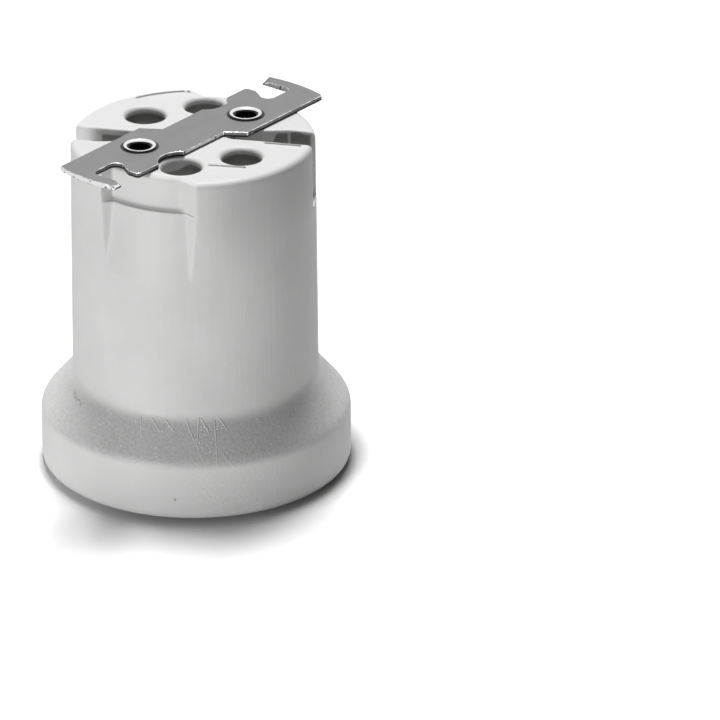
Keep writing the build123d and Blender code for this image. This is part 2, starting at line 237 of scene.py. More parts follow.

# Glaze: painted shade in the hollows, darker the deeper: how far in from the body's edge it begins,
# on one side and the other
REACH_SLOPE = 0.6
ONE_SIDE = (20.0, 26.0)
ONE_SIDE_REACH = (5.0, 0.8)
OTHER_SIDE = (20.0, 24.0)
OTHER_SIDE_REACH = (0.0, 1.3)
REACH_EDGE = (0.0, 0.7)
HOLLOW_SHADE_DEPTH = (1.2, 1.9)
HOLLOW_SHADE_FADE = (2.0, 6.0)
HOLLOW_SHADE_FOOT_Z = (60.0, 64.0)

# Glaze: spots of the plan where the painted shade in a hollow begins deeper, leaving painted light,
# or higher, and by how much
SHADE_SHIFT_SPOTS = (
    ((-13.95, -4.5), 1.6),
    ((11.4, -9.2), 9.0),
    ((14.9, -15.2), -0.7),
    ((17.4, -19.8), -0.7),
)
SHADE_SHIFT_EDGE = (1.5, 5.0)

# Glaze: painted shade in the crease under the pockets' floors and on one side of the upper body,
# and a pale line along a notch's bend
CREASE_Z = POCKET_FLOOR_Z - 0.25
CREASE_EDGE = (0.05, 0.25)
CREASE_INNER_R = (24.0, 24.6)
CREASE_OUTER_R = (27.2, 28.0)
SHADED_SIDE_Z = (58.0, 80.0)
SHADED_SIDE_START = (38.0, 62.0)
SHADED_SIDE_END = (100.0, 125.0)
BEND_LINE_EDGE = (0.15, 0.5)

# Glaze: crossed lines on the floor of the skirt
SKIRT_FOOT_Z = (13.5, 14.5)
SKIRT_TOP_Z = (17.2, 17.4)
SKIRT_OUTER_R = (28.0, 29.0)
HATCH_STEP = 1.7
HATCH_EDGE = (0.0, 0.35)

# Glaze: its unevenness, with streaks to the radian and to the metre, and its roughness
GLAZE_GLOSS = (0.44, 0.52)
STREAKS_ROUND = 26.0
STREAKS_UP = 60.0
STREAK_H = 0.06
GRAIN_H = 0.03
SPECKLE_H = 0.03
MARK_H = 0.4

# Bracket: where painted highlights brighten the side faces of its sheet, and where painted shade
# darkens it
NOSE_TILT = (0.7, 0.8)
NOSE_TILT_END = (0.92, 0.96)
NOSE_X = (-1.0, 1.0)
END_FACING = (0.8, 0.9)
END_R = (31.5, 32.5)
WAIST_FACING = (0.85, 0.95)
WAIST_R = (13.0, 14.5)
FOOT_SHADE_Z = (BRACKET_Z + 0.35, BRACKET_Z + 0.55)
FOOT_SHADE_TILT = (-0.8, -0.5)
RIVET_SHADE_R = (4.25, 4.5)
UNSHADED_TIP_R = (34.8, 35.3)

# Rivets: painted highlight ring on each head, with its inner edge a little off centre, on metal
# painted dark as shade
RING_SHIFT_X = -0.26
RING_SHIFT_Y = -0.2
RING_INNER_R = (2.95, 3.05)
RING_OUTER_R = (3.6, 3.75)

# Screw shell: painted shade along its lower edge, broken by dashes of plain nickel, and the slits
# that free its lock tongue, painted dark as shade, from one angle and height to another
SHELL_EDGE_R = (21.35, 21.6)
SHELL_EDGE_Z = (18.2, 18.5)
DASHES = 40
DASH_R = (21.75, 21.85)
DASH_GAP = (0.8, 1.4)
TONGUE_R = 20.0
TONGUE_SLITS = (
    ((132.0, 27.0), (144.0, 27.0)),
    ((132.0, 32.5), (144.0, 32.5)),
    ((132.0, 27.0), (132.0, 32.5)),
)
SLIT_EDGE = (0.2, 0.35)

# Metals: unevenness, and roughness from the brightest place to the dullest
METAL_GRAIN_H = 0.006
SHEET_GRAIN_H = 0.005
SHEET_GLOSS = (0.5, 0.54)
NICKEL_GLOSS = (0.12, 0.22)
BRASS_GLOSS = (0.2, 0.34)
ZINC_GLOSS = (0.28, 0.4)

# Camera, fitted to the photograph's frame of 720 by 720 pixels; it sees 20 m far
FRAME_PX = 720
SENSOR = 36.0
FOCAL_PX = 6500.0
CAMERA_ANGLE = 217.9
CAMERA_RISE = 25.262
CAMERA_DISTANCE = 1500.84
CAMERA_REACH = 20000.0
AIM_HEIGHT = 40.0
AIM_RIGHT = 38.102
AIM_UP = -14.71

# Floor and surround: the painted shadow at the foot lies to one side of the camera's direction
FLOOR_SIZE = 8000.0
OPEN_MOUTH_R = (33.9, 34.0)
SHADE_TURN = 40.0
SHADE_R = (35.0, 43.0)
SHADE_RUN = (-12.0, 24.0)
SHADE_LEAST = 0.25
AMBIENT = 0.06


def polar(radius, angle):
    """Point of the plan at that radius and angle."""
    return radius * cos(radians(angle)), radius * sin(radians(angle))


def arc(radius, start, end, steps, centre=(0, 0)):
    """Points along an arc of the plan."""
    points = [polar(radius, start + (end - start) * i / steps) for i in range(steps + 1)]
    return [(centre[0] + x, centre[1] + y) for x, y in points]


def select_only(piece):
    """Makes one object the active and only selected one."""
    bpy.ops.object.select_all(action="DESELECT")
    piece.select_set(True)
    bpy.context.view_layer.objects.active = piece


def in_edit_mode(piece, *steps):
    """Runs the steps on all of a piece's mesh in edit mode."""
    select_only(piece)
    bpy.ops.object.mode_set(mode="EDIT")
    for step in steps:
        bpy.ops.mesh.select_all(action="SELECT")
        step()
    bpy.ops.object.mode_set(mode="OBJECT")


def close_up():
    """Merges doubled points and turns every face outwards."""
    bpy.ops.mesh.remove_doubles(threshold=WELD_GAP * MM)
    bpy.ops.mesh.normals_make_consistent(inside=False)


def finish_with(piece, kind, **settings):
    """Adds one modifier and applies it."""
    modifier = piece.modifiers.new(kind.lower(), kind)
    for name, value in settings.items():
        setattr(modifier, name, value)
    select_only(piece)
    bpy.ops.object.modifier_apply(modifier=modifier.name)
    return piece


def smooth(piece, edge_angle):
    """Shades a piece smoothly, apart from edges sharper than an angle."""
    select_only(piece)
    bpy.ops.object.shade_smooth_by_angle(angle=radians(edge_angle))
    return piece


def from_points(name, points, edges=(), faces=()):
    """New object whose mesh has these points."""
    mesh = bpy.data.meshes.new(name)
    mesh.from_pydata([Vector(p) * MM for p in points], edges, faces)
    piece = bpy.data.objects.new(name, mesh)
    bpy.context.scene.collection.objects.link(piece)
    return piece


def rounded(corners, step=radians(ROUND_STEP)):
    """Line through corners (x, y) or (x, y, round), each round one replaced by an arc."""
    line = []
    for i, (x, y, *rounding) in enumerate(corners):
        here = Vector((x, y))
        if not rounding:
            line.append(here)
            continue
        radius = rounding[0]
        before = (Vector(corners[i - 1][:2]) - here).normalized()
        after = (Vector(corners[(i + 1) % len(corners)][:2]) - here).normalized()
        half = before.angle(after) / 2
        centre = here + (before + after).normalized() * radius / sin(half)
        first = here + before * radius / tan(half) - centre
        turn = (pi - 2 * half) * (1 if before.cross(after) < 0 else -1)
        count = max(2, round(abs(turn) / step))
        line += [centre + Matrix.Rotation(turn * k / count, 2) @ first for k in range(count + 1)]
    return line


def turned(name, corners, closed=True, steps=TURN_STEPS):
    """Piece turned about the Z axis from an outline of corners, as rounded() takes them."""
    line = rounded(corners)
    links = [(i, i + 1) for i in range(len(line) - 1)]
    if closed:
        links.append((len(line) - 1, 0))
    piece = from_points(name, [(x, 0, z) for x, z in line], links)
    in_edit_mode(
        piece,
        lambda: bpy.ops.mesh.spin(steps=steps, angle=tau, center=(0, 0, 0), axis=(0, 0, 1)),
        close_up,
    )
    return piece


def extruded(piece, *run):
    """Draws a flat piece out into a solid."""
    reach = {"value": [length * MM for length in run]}
    in_edit_mode(
        piece,
        lambda: bpy.ops.mesh.extrude_region_move(TRANSFORM_OT_translate=reach),
        close_up,
    )
    return piece


def prism(name, plan, low, high):
    """Piece with this plan, standing from one height to the other."""
    face = [tuple(range(len(plan)))]
    flat = from_points(name, [(x, y, low) for x, y in plan], faces=face)
    return extruded(flat, 0, 0, high - low)


def turned_to(piece, angle):
    """Turns a piece's mesh about the Z axis by an angle."""
    piece.data.transform(Matrix.Rotation(radians(angle), 4, "Z"))
    return piece


def moved_out(piece, radius, angle):
    """Moves a piece's mesh from the Z axis to a radius and angle."""
    x, y = polar(radius, angle)
    piece.data.transform(Matrix.Translation((x * MM, y * MM, 0)))
    return piece


def cut(piece, cutter, operation="DIFFERENCE"):
    """Cuts one piece with another, which is then gone."""
    finish_with(piece, "BOOLEAN", object=cutter, operation=operation, solver="EXACT")
    bpy.data.objects.remove(cutter)
    return piece


def drilled(piece, radius, angle, hole_r, low, high):
    """Drills a round hole on each side of the axis."""
    for turn in HALF_TURNS:
        x, y = polar(radius, angle + turn)
        bpy.ops.mesh.primitive_cylinder_add(
            vertices=HOLE_STEPS,
            radius=hole_r * MM,
            depth=(high - low) * MM,
            location=(x * MM, y * MM, (low + high) / 2 * MM),
        )
        cutter = bpy.context.object
        bpy.ops.object.transform_apply()
        cut(piece, cutter)


def joined(pieces):
    """One piece made of several."""
    select_only(pieces[0])
    for piece in pieces:
        piece.select_set(True)
    bpy.ops.object.join()
    return pieces[0]


def turned_body():
    """The porcelain without its cuts."""
    return turned(
        "glazed_porcelain",
        [
            (0, ROOF_Z),
            (CHAMBER_R, ROOF_Z),
            (CHAMBER_R, LEDGE_Z),
            (SHELL_BORE_R, LEDGE_Z),
            (SHELL_BORE_R, SHELL_SEAT_Z),
            (SHELL_SEAT_R, SHELL_SEAT_Z),
            (SHELL_SEAT_R, SHELL_Z),
            (SKIRT_FLOOR_R, SKIRT_DEPTH, SKIRT_CORNER_ROUND),
            (MOUTH_R, 0, RIM_INNER_ROUND),
            (FLANGE_R, 0, RIM_OUTER_ROUND),
            (FLANGE_R, FLANGE_H, FLANGE_ROUND),
            (BODY_R, FLANGE_H + SHOULDER_H, NECK_ROUND),
            (BODY_TOP_R, BODY_H, BORDER_ROUND),
            (0, BODY_H),
        ],
        closed=False,
    )


def pressed_form():
    """The porcelain as it leaves the press, with sharp edges at its cuts."""
    form = turned_body()
    above = BODY_H + OVERCUT
    below = ROOF_Z - OVERCUT
    brim_z = BODY_H - POCKET_BRIM_DEPTH
    for turn, mouth_round in zip(HALF_TURNS, NOTCH_MOUTH_ROUNDS):
        for cutter, angle in (
            (prism("pocket", pocket_plan(0), POCKET_FLOOR_Z, above), POCKET_ANGLE),
            (prism("brim", pocket_plan(POCKET_BRIM), brim_z, above), POCKET_ANGLE),
            (prism("notch", notch_plan(mouth_round), NOTCH_FLOOR_Z, above), NOTCH_ANGLE),
            (relief(), POCKET_ANGLE),
        ):
            cut(form, turned_to(cutter, angle + turn))
        cut(form, moved_out(mouthed(below), ACCESS_RADIUS, ACCESS_ANGLE + turn))
        cut(form, moved_out(mouthed(SUNK_FLOOR_Z), SUNK_RADIUS, SUNK_ANGLE + turn))
    drilled(form, SUNK_RADIUS, SUNK_ANGLE, SUNK_BORE_R, below, above)
    drilled(form, RIVET_RADIUS, RIVET_ANGLE, RIVET_BORE_R, below, above)
    drilled(form, RIVET_RADIUS, RIVET_ANGLE, RIVET_SINK_R, below, RIVET_SINK_Z)
    drilled(form, 0, 0, STEM_ROOM_R, below, STEM_ROOM_Z)
    return form


def notch_bend():
    """Corner where the side of a notch on the +X side bends."""
    return NOTCH_BEND_X, NOTCH_SIDE + NOTCH_W + NOTCH_BEND


def notch_plan(mouth_round):
    """Plan of a notch on the +X side: a round inner end, a bent side and one rounded mouth."""
    end_r = NOTCH_END_W / 2
    end = (NOTCH_END_X + end_r, NOTCH_SIDE + end_r)
    corner = (BODY_TOP_R - mouth_round, NOTCH_SIDE - mouth_round)
    return [
        *arc(end_r, 90, 270, NOTCH_END_STEPS, end),
        *arc(mouth_round, 90, 0, MOUTH_STEPS, corner),
        (FLANGE_R, corner[1]),
        (FLANGE_R, NOTCH_SIDE + NOTCH_W),
        notch_bend(),
    ]


def pocket_plan(brim):
    """Plan of a pocket on the +X side, widened by a brim: one end is square, the other slants."""
    first = -POCKET_SPAN / 2
    last = POCKET_SPAN / 2 + degrees(brim / BODY_TOP_R)
    wall = arc(POCKET_WALL_R - brim, first, last - POCKET_SLANT, ARC_STEPS)
    slant = Vector(wall[-1]).lerp(Vector(polar(BODY_TOP_R, last)), SLANT_REACH)
    slant_angle = degrees(atan2(slant.y, slant.x))
    return [*wall, tuple(slant), *arc(FLANGE_R + 2 * OVERCUT, slant_angle, first, ARC_STEPS)]


def mouthed(floor):
    """Drill with a flared root, which leaves a hole with a rounded mouth."""
    mouth_r = HOLE_R + HOLE_ROUND
    outline = [
        (0, floor),
        (HOLE_R, floor),
        *arc(HOLE_ROUND, 180, 90, MOUTH_STEPS, (mouth_r, BODY_H - HOLE_ROUND)),
        (mouth_r, BODY_H + OVERCUT),
        (0, BODY_H + OVERCUT),
    ]
    return turned("drill", outline, closed=False, steps=HOLE_STEPS)


def relief():
    """Tapered hollow below a pocket, on the +X side, with flared sides."""
    outside = FLANGE_R + 2 * OVERCUT
    wedge = turned(
        "relief",
        [
            (RELIEF_LEDGE_R, POCKET_FLOOR_Z),
            (outside, POCKET_FLOOR_Z),
            (outside, RELIEF_FOOT_Z),
            (BODY_R, RELIEF_FOOT_Z),
        ],
    )
    corners = []
    edge_x = BODY_TOP_R * cos(asin(RELIEF_TOP_W / 2 / BODY_TOP_R))
    for x in (RELIEF_FLARE_R, outside + OVERCUT):
        for side, slope in zip((1, -1), RELIEF_FLARES):
            flare = (x - edge_x) * slope
            corners.append((x, side * (RELIEF_TOP_W / 2 + flare), POCKET_FLOOR_Z + OVERCUT))
            corners.append((x, side * (RELIEF_FOOT_W / 2 + flare), RELIEF_FOOT_Z - OVERCUT))
    window = from_points("window", corners)
    in_edit_mode(window, bpy.ops.mesh.convex_hull, close_up)
    return cut(wedge, window, "INTERSECT")


def glazed_porcelain():
    """The porcelain with the soft edges of its glaze."""
    piece = pressed_form()
    finish_with(piece, "REMESH", mode="VOXEL", voxel_size=GLAZE_GRID * MM)
    finish_with(piece, "SMOOTH", factor=GLAZE_SOFTENING, iterations=GLAZE_PASSES)
    raise_marks(piece)
    finish_with(piece, "TRIANGULATE")
    share = min(1.0, GLAZE_TRIANGLES / len(piece.data.polygons))
    finish_with(piece, "DECIMATE", ratio=share)
    select_only(piece)
    bpy.ops.object.shade_smooth()
    return piece


def raise_marks(piece):
    """Raises the marks on the rear lands out of the mesh."""
    lines = [[Vector(end) for end in ends] for ends in LAND_LINES]
    for point in piece.data.vertices:
        place = point.co / MM
        if place.z < BODY_H - LAND_MARK_H:
            continue
        gaps = [off_line(place.xy, start, end) for start, end in lines]
        if LAND_ARC_START < degrees(atan2(place.y, place.x)) < LAND_ARC_END:
            gaps.append(abs(place.xy.length - LAND_ARC_R))
        share = min(1, min(gaps) / (LAND_MARK_W / 2))
        point.co.z += (1 - share**2) * LAND_MARK_H * MM


def off_line(place, start, end):
    """How far a point of the plan is from a straight line between two others."""
    run = end - start
    along = (place - start).dot(run) / run.length_squared
    return (place - start.lerp(end, min(1, max(0, along)))).length


def bracket_outline():
    """Outline of the bracket from above: one end, then the same turned half round."""
    slot_x = BRACKET_TIP_R - HOOK_W
    side = STRIP_W / 2
    tip_start = 180 - degrees(asin(LOBE_SIDE / BRACKET_TIP_R))
    tip_end = 180 + degrees(asin(side / BRACKET_TIP_R))
    tip = arc(BRACKET_TIP_R, tip_start, tip_end, ARC_STEPS)
    hole = polar(SUNK_RADIUS, SUNK_ANGLE + 180)
    relief_start = 180 - degrees(asin((-side - hole[1]) / RELIEF_R))
    corners = [
        (-LOBE_INNER_X + LOBE_SLOPE, side),
        (-LOBE_INNER_X, LOBE_SIDE),
        (*tip[0], LOBE_ROUND),
        *tip[2:],
        (-slot_x, -side),
        (-slot_x, SLOT_ROOT, SLOT_ROOT_ROUND),
        (-slot_x + SLOT_ROOT_W, SLOT_ROOT, SLOT_ROOT_ROUND),
        (-slot_x + SLOT_ROOT_W, SLOT_ROOT - SLOT_ROOT_ROUND - SLOT_NECK),
        (-slot_x + SLOT_W, -SLOT_THROAT),
        (-slot_x + SLOT_W, -side, LUG_ROUND),
        *arc(RELIEF_R, relief_start, 180 - relief_start, RELIEF_STEPS, hole),
    ]
    return rounded(corners + [(-x, -y, *rounding) for x, y, *rounding in corners])


def hook_nose(slant):
    """Wedge that bevels the nose of the -X hook, straight or slanted from its outer corner."""
    side = -STRIP_W / 2
    top = BRACKET_Z + BRACKET_T
    wedge = [
        (side + 2 * NOSE_RUN, top + NOSE_DROP),
        (side - NOSE_RUN, top - 2 * NOSE_DROP),
        (side - NOSE_RUN, top + NOSE_DROP),
    ]
    points = [(-BRACKET_TIP_R - OVERCUT, y, z) for y, z in wedge]
    cutter = extruded(from_points("nose", points, faces=[(0, 1, 2)]), HOOK_W + 3 * OVERCUT, 0, 0)
    if slant:
        outer_x = -BRACKET_TIP_R * cos(asin(STRIP_W / 2 / BRACKET_TIP_R))
        corner = Vector((outer_x, side, 0)) * MM
        step = Matrix.Translation((0, -NOSE_RUN * MM, 0))
        turn = Matrix.Rotation(radians(slant), 4, "Z")
        back = Matrix.Translation(-corner)
        cutter.data.transform(Matrix.Translation(corner) @ turn @ step @ back)
    return cutter


def pressed_bracket(sheet, edge):
    """The fixing bracket, with its punched edges broken."""
    top = BRACKET_Z + BRACKET_T
    piece = prism("pressed_bracket", bracket_outline(), BRACKET_Z, top)
    piece.data.materials.append(sheet)
    piece.data.materials.append(edge)
    for turn, slant in zip(HALF_TURNS, NOSE_SLANTS):
        cut(piece, turned_to(hook_nose(slant), turn))
    drilled(piece, RIVET_RADIUS, RIVET_ANGLE, RIVET_BORE_R, BRACKET_Z - OVERCUT, top + OVERCUT)
    finish_with(
        piece,
        "BEVEL",
        width=EDGE_BREAK * MM,
        segments=EDGE_BREAK_STEPS,
        limit_method="ANGLE",
        angle_limit=radians(SHEET_EDGE_ANGLE),
        material=piece.data.materials.find(edge.name),
    )
    smooth(piece, SHEET_EDGE_ANGLE)
    return finish_with(piece, "WEIGHTED_NORMAL", weight=100, keep_sharp=True)


def rolled_rivets():
    """The two hollow rivets, each with its rolled head on the bracket and its flared inner end."""
    head_z = BRACKET_Z + BRACKET_T
    profile = [
        (RIVET_HOLLOW_R, RIVET_SEAT_Z - RIVET_HEAD_H),
        (RIVET_HEAD_R, RIVET_SEAT_Z - RIVET_HEAD_H),
        (RIVET_HEAD_R, RIVET_SEAT_Z),
        (RIVET_R, RIVET_SEAT_Z),
        (RIVET_R, head_z),
        (RIVET_HEAD_R, head_z),
        (RIVET_RIM_R, head_z + RIVET_HEAD_H, RIVET_ROLL),
        (RIVET_FLARE_R, head_z + RIVET_HEAD_H, RIVET_ROLL),
        (RIVET_HOLLOW_R, head_z + RIVET_HEAD_H - RIVET_FLARE_DEPTH, RIVET_ROLL),
    ]
    pair = []
    for turn in HALF_TURNS:
        rivet = turned("rolled_rivets", profile, steps=HOLE_STEPS)
        pair.append(moved_out(rivet, RIVET_RADIUS, RIVET_ANGLE + turn))
    return smooth(joined(pair), ROUND_EDGE_ANGLE)


def coil():
    """The contact's spring, wound upwards between the contact and the strap."""
    low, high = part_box("contact_spring")
    wire_r = SPRING_WIRE / 2
    first_z = low[2] / MM + wire_r
    rise = (high[2] - low[2]) / MM - SPRING_WIRE
    ring = arc(wire_r, 0, 360, WIRE_SIDES, (SPRING_MEAN_R, first_z))[:-1]
    links = [(i, (i + 1) % len(ring)) for i in range(len(ring))]
    piece = from_points("wound_spring", [(x, 0, z) for x, z in ring], links)
    finish_with(
        piece,
        "SCREW",
        axis="Z",
        angle=SPRING_TURNS * tau,
        screw_offset=rise * MM,
        steps=SPRING_STEPS,
        render_steps=SPRING_STEPS,
    )
    in_edit_mode(piece, lambda: bpy.ops.mesh.fill_holes(sides=len(ring)), close_up)
    return smooth(piece, ROUND_EDGE_ANGLE)


class Value:
    """A number, colour or vector that varies over a surface, and takes part in arithmetic."""

    def __init__(self, finish, socket):
        self.finish = finish
        self.socket = socket

    def __add__(self, other):
        return self.finish.math("ADD", self, other)

    def __sub__(self, other):
        return self.finish.math("SUBTRACT", self, other)

    def __rsub__(self, other):
        return self.finish.math("SUBTRACT", other, self)

    def __mul__(self, other):
        return self.finish.math("MULTIPLY", self, other)

    def __truediv__(self, other):
        return self.finish.math("DIVIDE", self, other)

    __radd__ = __add__
    __rmul__ = __mul__


class Finish:
    """One material, or the surround, made of nodes that one method adds."""

    def __init__(self, name, owners="materials", end="ShaderNodeOutputMaterial"):
        self.owner = getattr(bpy.data, owners).new(name)
        self.owner.use_nodes = True
        self.tree = self.owner.node_tree
        self.tree.nodes.clear()
        self.end = end

    def node(self, kind, settings=None, inputs=None, output=0):
        """Adds a node, sets it up, feeds its sockets and gives one of its outputs, if any."""
        made = self.tree.nodes.new(kind)
        for name, value in (settings or {}).items():
            setattr(made, name, value)
        for key, value in (inputs or {}).items():
            if isinstance(value, Value):
                self.tree.links.new(value.socket, made.inputs[key])
            else:
                made.inputs[key].default_value = value
        return Value(self, made.outputs[output]) if made.outputs else None

    def ends_in(self, shader):
        """Joins a shader to the output, and gives the finished material or surround."""
        self.node(self.end, None, {"Surface": shader})
        return self.owner

    def surface(self, **sockets):
        """Ends in one shader with these sockets."""
        named = {name.replace("_", " ").title(): value for name, value in sockets.items()}
        return self.ends_in(self.node("ShaderNodeBsdfPrincipled", None, named))

    def blended(self, share, first, second):
        """Shader between two shaders."""
        return self.node("ShaderNodeMixShader", None, {0: share, 1: first, 2: second})

    def math(self, operation, *values):
        """Number worked out from others."""
        return self.node("ShaderNodeMath", {"operation": operation}, dict(enumerate(values)))

    def mix(self, share, first, second):
        """Colour between two colours."""
        sockets = {0: share, 6: first, 7: second}
        return self.node("ShaderNodeMix", {"data_type": "RGBA"}, sockets, 2)

    def clamped(self, value):
        """Value kept between 0 and 1."""
        return self.node("ShaderNodeClamp", None, {0: value})

    def ramp(self, value, low, high, start=0.0, end=1.0):
        """Value carried smoothly from start, at low and below, to end, at high and above."""
        sockets = {"Value": value, 1: low, 2: high, 3: start, 4: end}
        return self.node("ShaderNodeMapRange", {"interpolation_type": "SMOOTHSTEP"}, sockets)

    def rise(self, length, low, high, start=0.0, end=1.0):
        """Ramp over a length in metres, between bounds in millimetres."""
        return self.ramp(length, low * MM, high * MM, start, end)

    def fall(self, length, low, high):
        """Ramp from 1 down to 0 over a length in metres, between bounds in millimetres."""
        return self.rise(length, low, high, 1.0, 0.0)

    def swing(self, turn, low, high, start=0.0, end=1.0):
        """Ramp over an angle in radians, between bounds in degrees."""
        return self.ramp(turn, radians(low), radians(high), start, end)

    def noise(self, scale, detail, vector=None):
        """Cloudy value between 0 and 1, with its grain one over scale metres across."""
        sockets = {"Vector": vector or self.place, "Scale": scale, "Detail": detail}
        return self.node("ShaderNodeTexNoise", None, sockets, "Fac")

    def patches(self, scale, detail, low=0.3, high=0.7, start=0.0, end=1.0):
        """Noise drawn out between two of its levels."""
        return self.ramp(self.noise(scale, detail), low, high, start, end)

    def cells(self, scale, feature="F1", drift=0.8, drift_scale=0.7):
        """Distance from the middles or borders of uneven cells, one over scale metres across."""
        sockets = {"Vector": self.place, "Scale": scale * drift_scale}
        shift = self.node("ShaderNodeTexNoise", None, sockets, "Color")
        shift = self.vector_math("SCALE", {0: shift, "Scale": drift / scale})
        bent = self.vector_math("ADD", {0: self.place, 1: shift})
        sockets = {"Vector": bent, "Scale": scale}
        return self.node("ShaderNodeTexVoronoi", {"feature": feature}, sockets, "Distance")

    def vector(self, x, y, z):
        """Vector of three values."""
        return self.node("ShaderNodeCombineXYZ", None, {0: x, 1: y, 2: z})

    def vector_math(self, operation, sockets, output="Vector"):
        """Vector, or with the output Value a number, worked out from vectors."""
        return self.node("ShaderNodeVectorMath", {"operation": operation}, sockets, output)

    @cached_property
    def place(self):
        """Where a point of the surface is, in metres."""
        return self.node("ShaderNodeTexCoord", output="Object")

    def axis(self, name):
        """One of the place's coordinates."""
        return self.node("ShaderNodeSeparateXYZ", None, {0: self.place}, name)

    def facing(self, name):
        """One part of the direction that the surface faces."""
        direction = self.node("ShaderNodeNewGeometry", output="Normal")
        return self.node("ShaderNodeSeparateXYZ", None, {0: direction}, name)

    def bearing(self, x, y):
        """Angle of a point of the plan, in radians."""
        return self.math("ARCTAN2", y, x)

    def distance(self, x, y):
        """How far a point is from an upright line through this point of the plan, in metres."""
        flat = self.vector(self.axis("X"), self.axis("Y"), 0.0)
        return self.vector_math("DISTANCE", {0: flat, 1: (x * MM, y * MM, 0)}, "Value")

    def far_from(self, value, middle):
        """How far a value is from another, either way."""
        return self.math("ABSOLUTE", value - middle)

    def from_line(self, across, up, start, end):
        """How far a point (across, up) is from a straight line between two points, in metres."""
        start = Vector(start) * MM
        run = Vector(end) * MM - start
        out_x = across - start.x
        out_y = up - start.y
        along = self.clamped((out_x * run.x + out_y * run.y) / run.length_squared)
        off = self.vector(out_x - along * run.x, out_y - along * run.y, 0.0)
        return self.vector_math("LENGTH", {0: off}, "Value")

    def bump(self, shape, height, under=None):
        """Surface direction with a shape of this height laid over it."""
        sockets = {"Height": shape, "Distance": height * MM, "Strength": 1.0}
        if under:
            sockets["Normal"] = under
        return self.node("ShaderNodeBump", None, sockets)


def grey(level, warmth=0.0):
    """Near-neutral colour."""
    return level * (1 + warmth), level, level * (1 - warmth), 1.0


